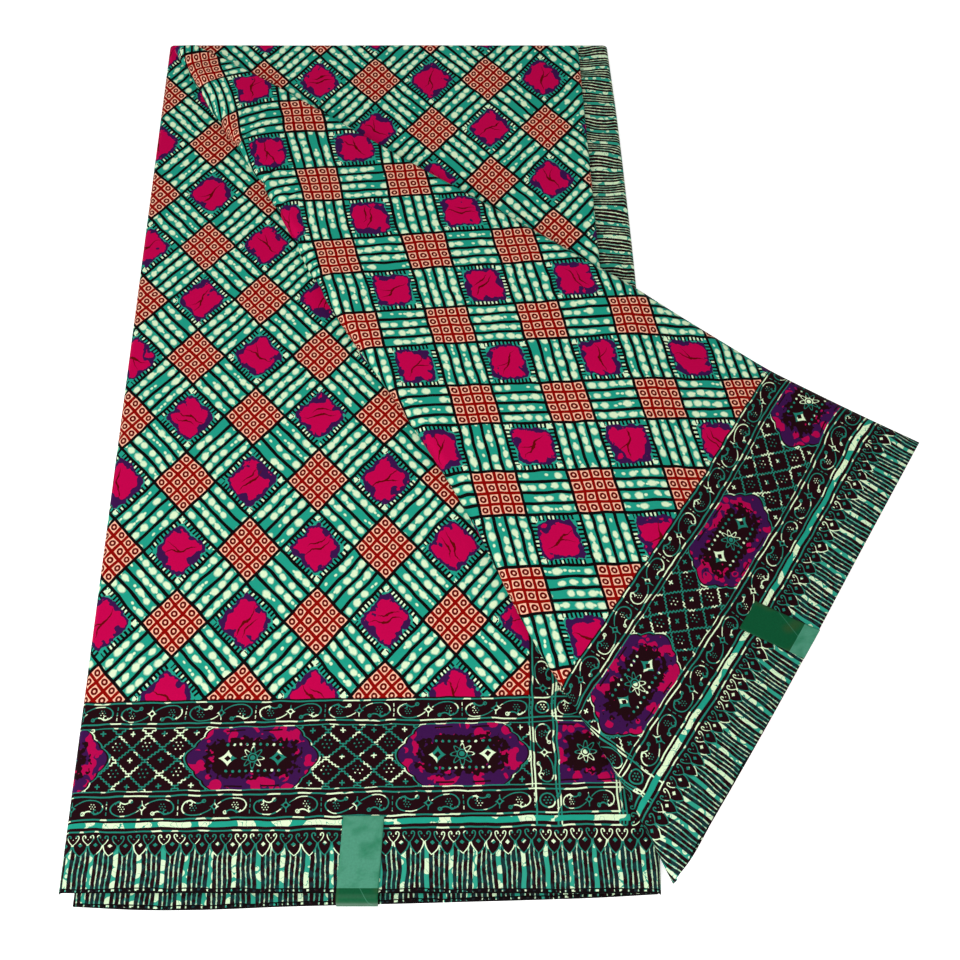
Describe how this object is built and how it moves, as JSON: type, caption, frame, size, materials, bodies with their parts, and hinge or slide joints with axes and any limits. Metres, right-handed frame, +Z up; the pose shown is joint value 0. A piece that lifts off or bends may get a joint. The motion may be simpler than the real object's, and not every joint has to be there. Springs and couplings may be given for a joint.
{
  "type": "folded length of african wax print fabric",
  "caption": "Folded length of wax print cotton lying flat, its upper pleats turned back over a diagonal crease as a flap, with bare band labels on both selvedges.",
  "frame": {"origin": "centre of the bounding box, on the table", "axes": "+X along the hem to the right, +Y from the hem to the centre fold, +Z up"},
  "size_m": [0.462, 0.59, 0.0199],
  "materials": {
    "print_face": "smooth wax printed cotton, satin from its starch finish",
    "print_flap": "wax printed cotton of the turned back flap, its face outwards",
    "print_edges": "stacked cut edges and folds of the printed cotton",
    "label_band": "smooth green satin label tape, bare"
  },
  "bodies": {
    "root": {"lower_leaf": "print_face", "lower_pile": "print_edges", "hem_underleaf": "print_edges", "upper_leaf": "print_face", "upper_pile": "print_edges", "flap_leaf": "print_flap", "flap_pile": "print_edges", "hem_label": "label_band", "flap_label": "label_band"}
  },
  "joints": []
}
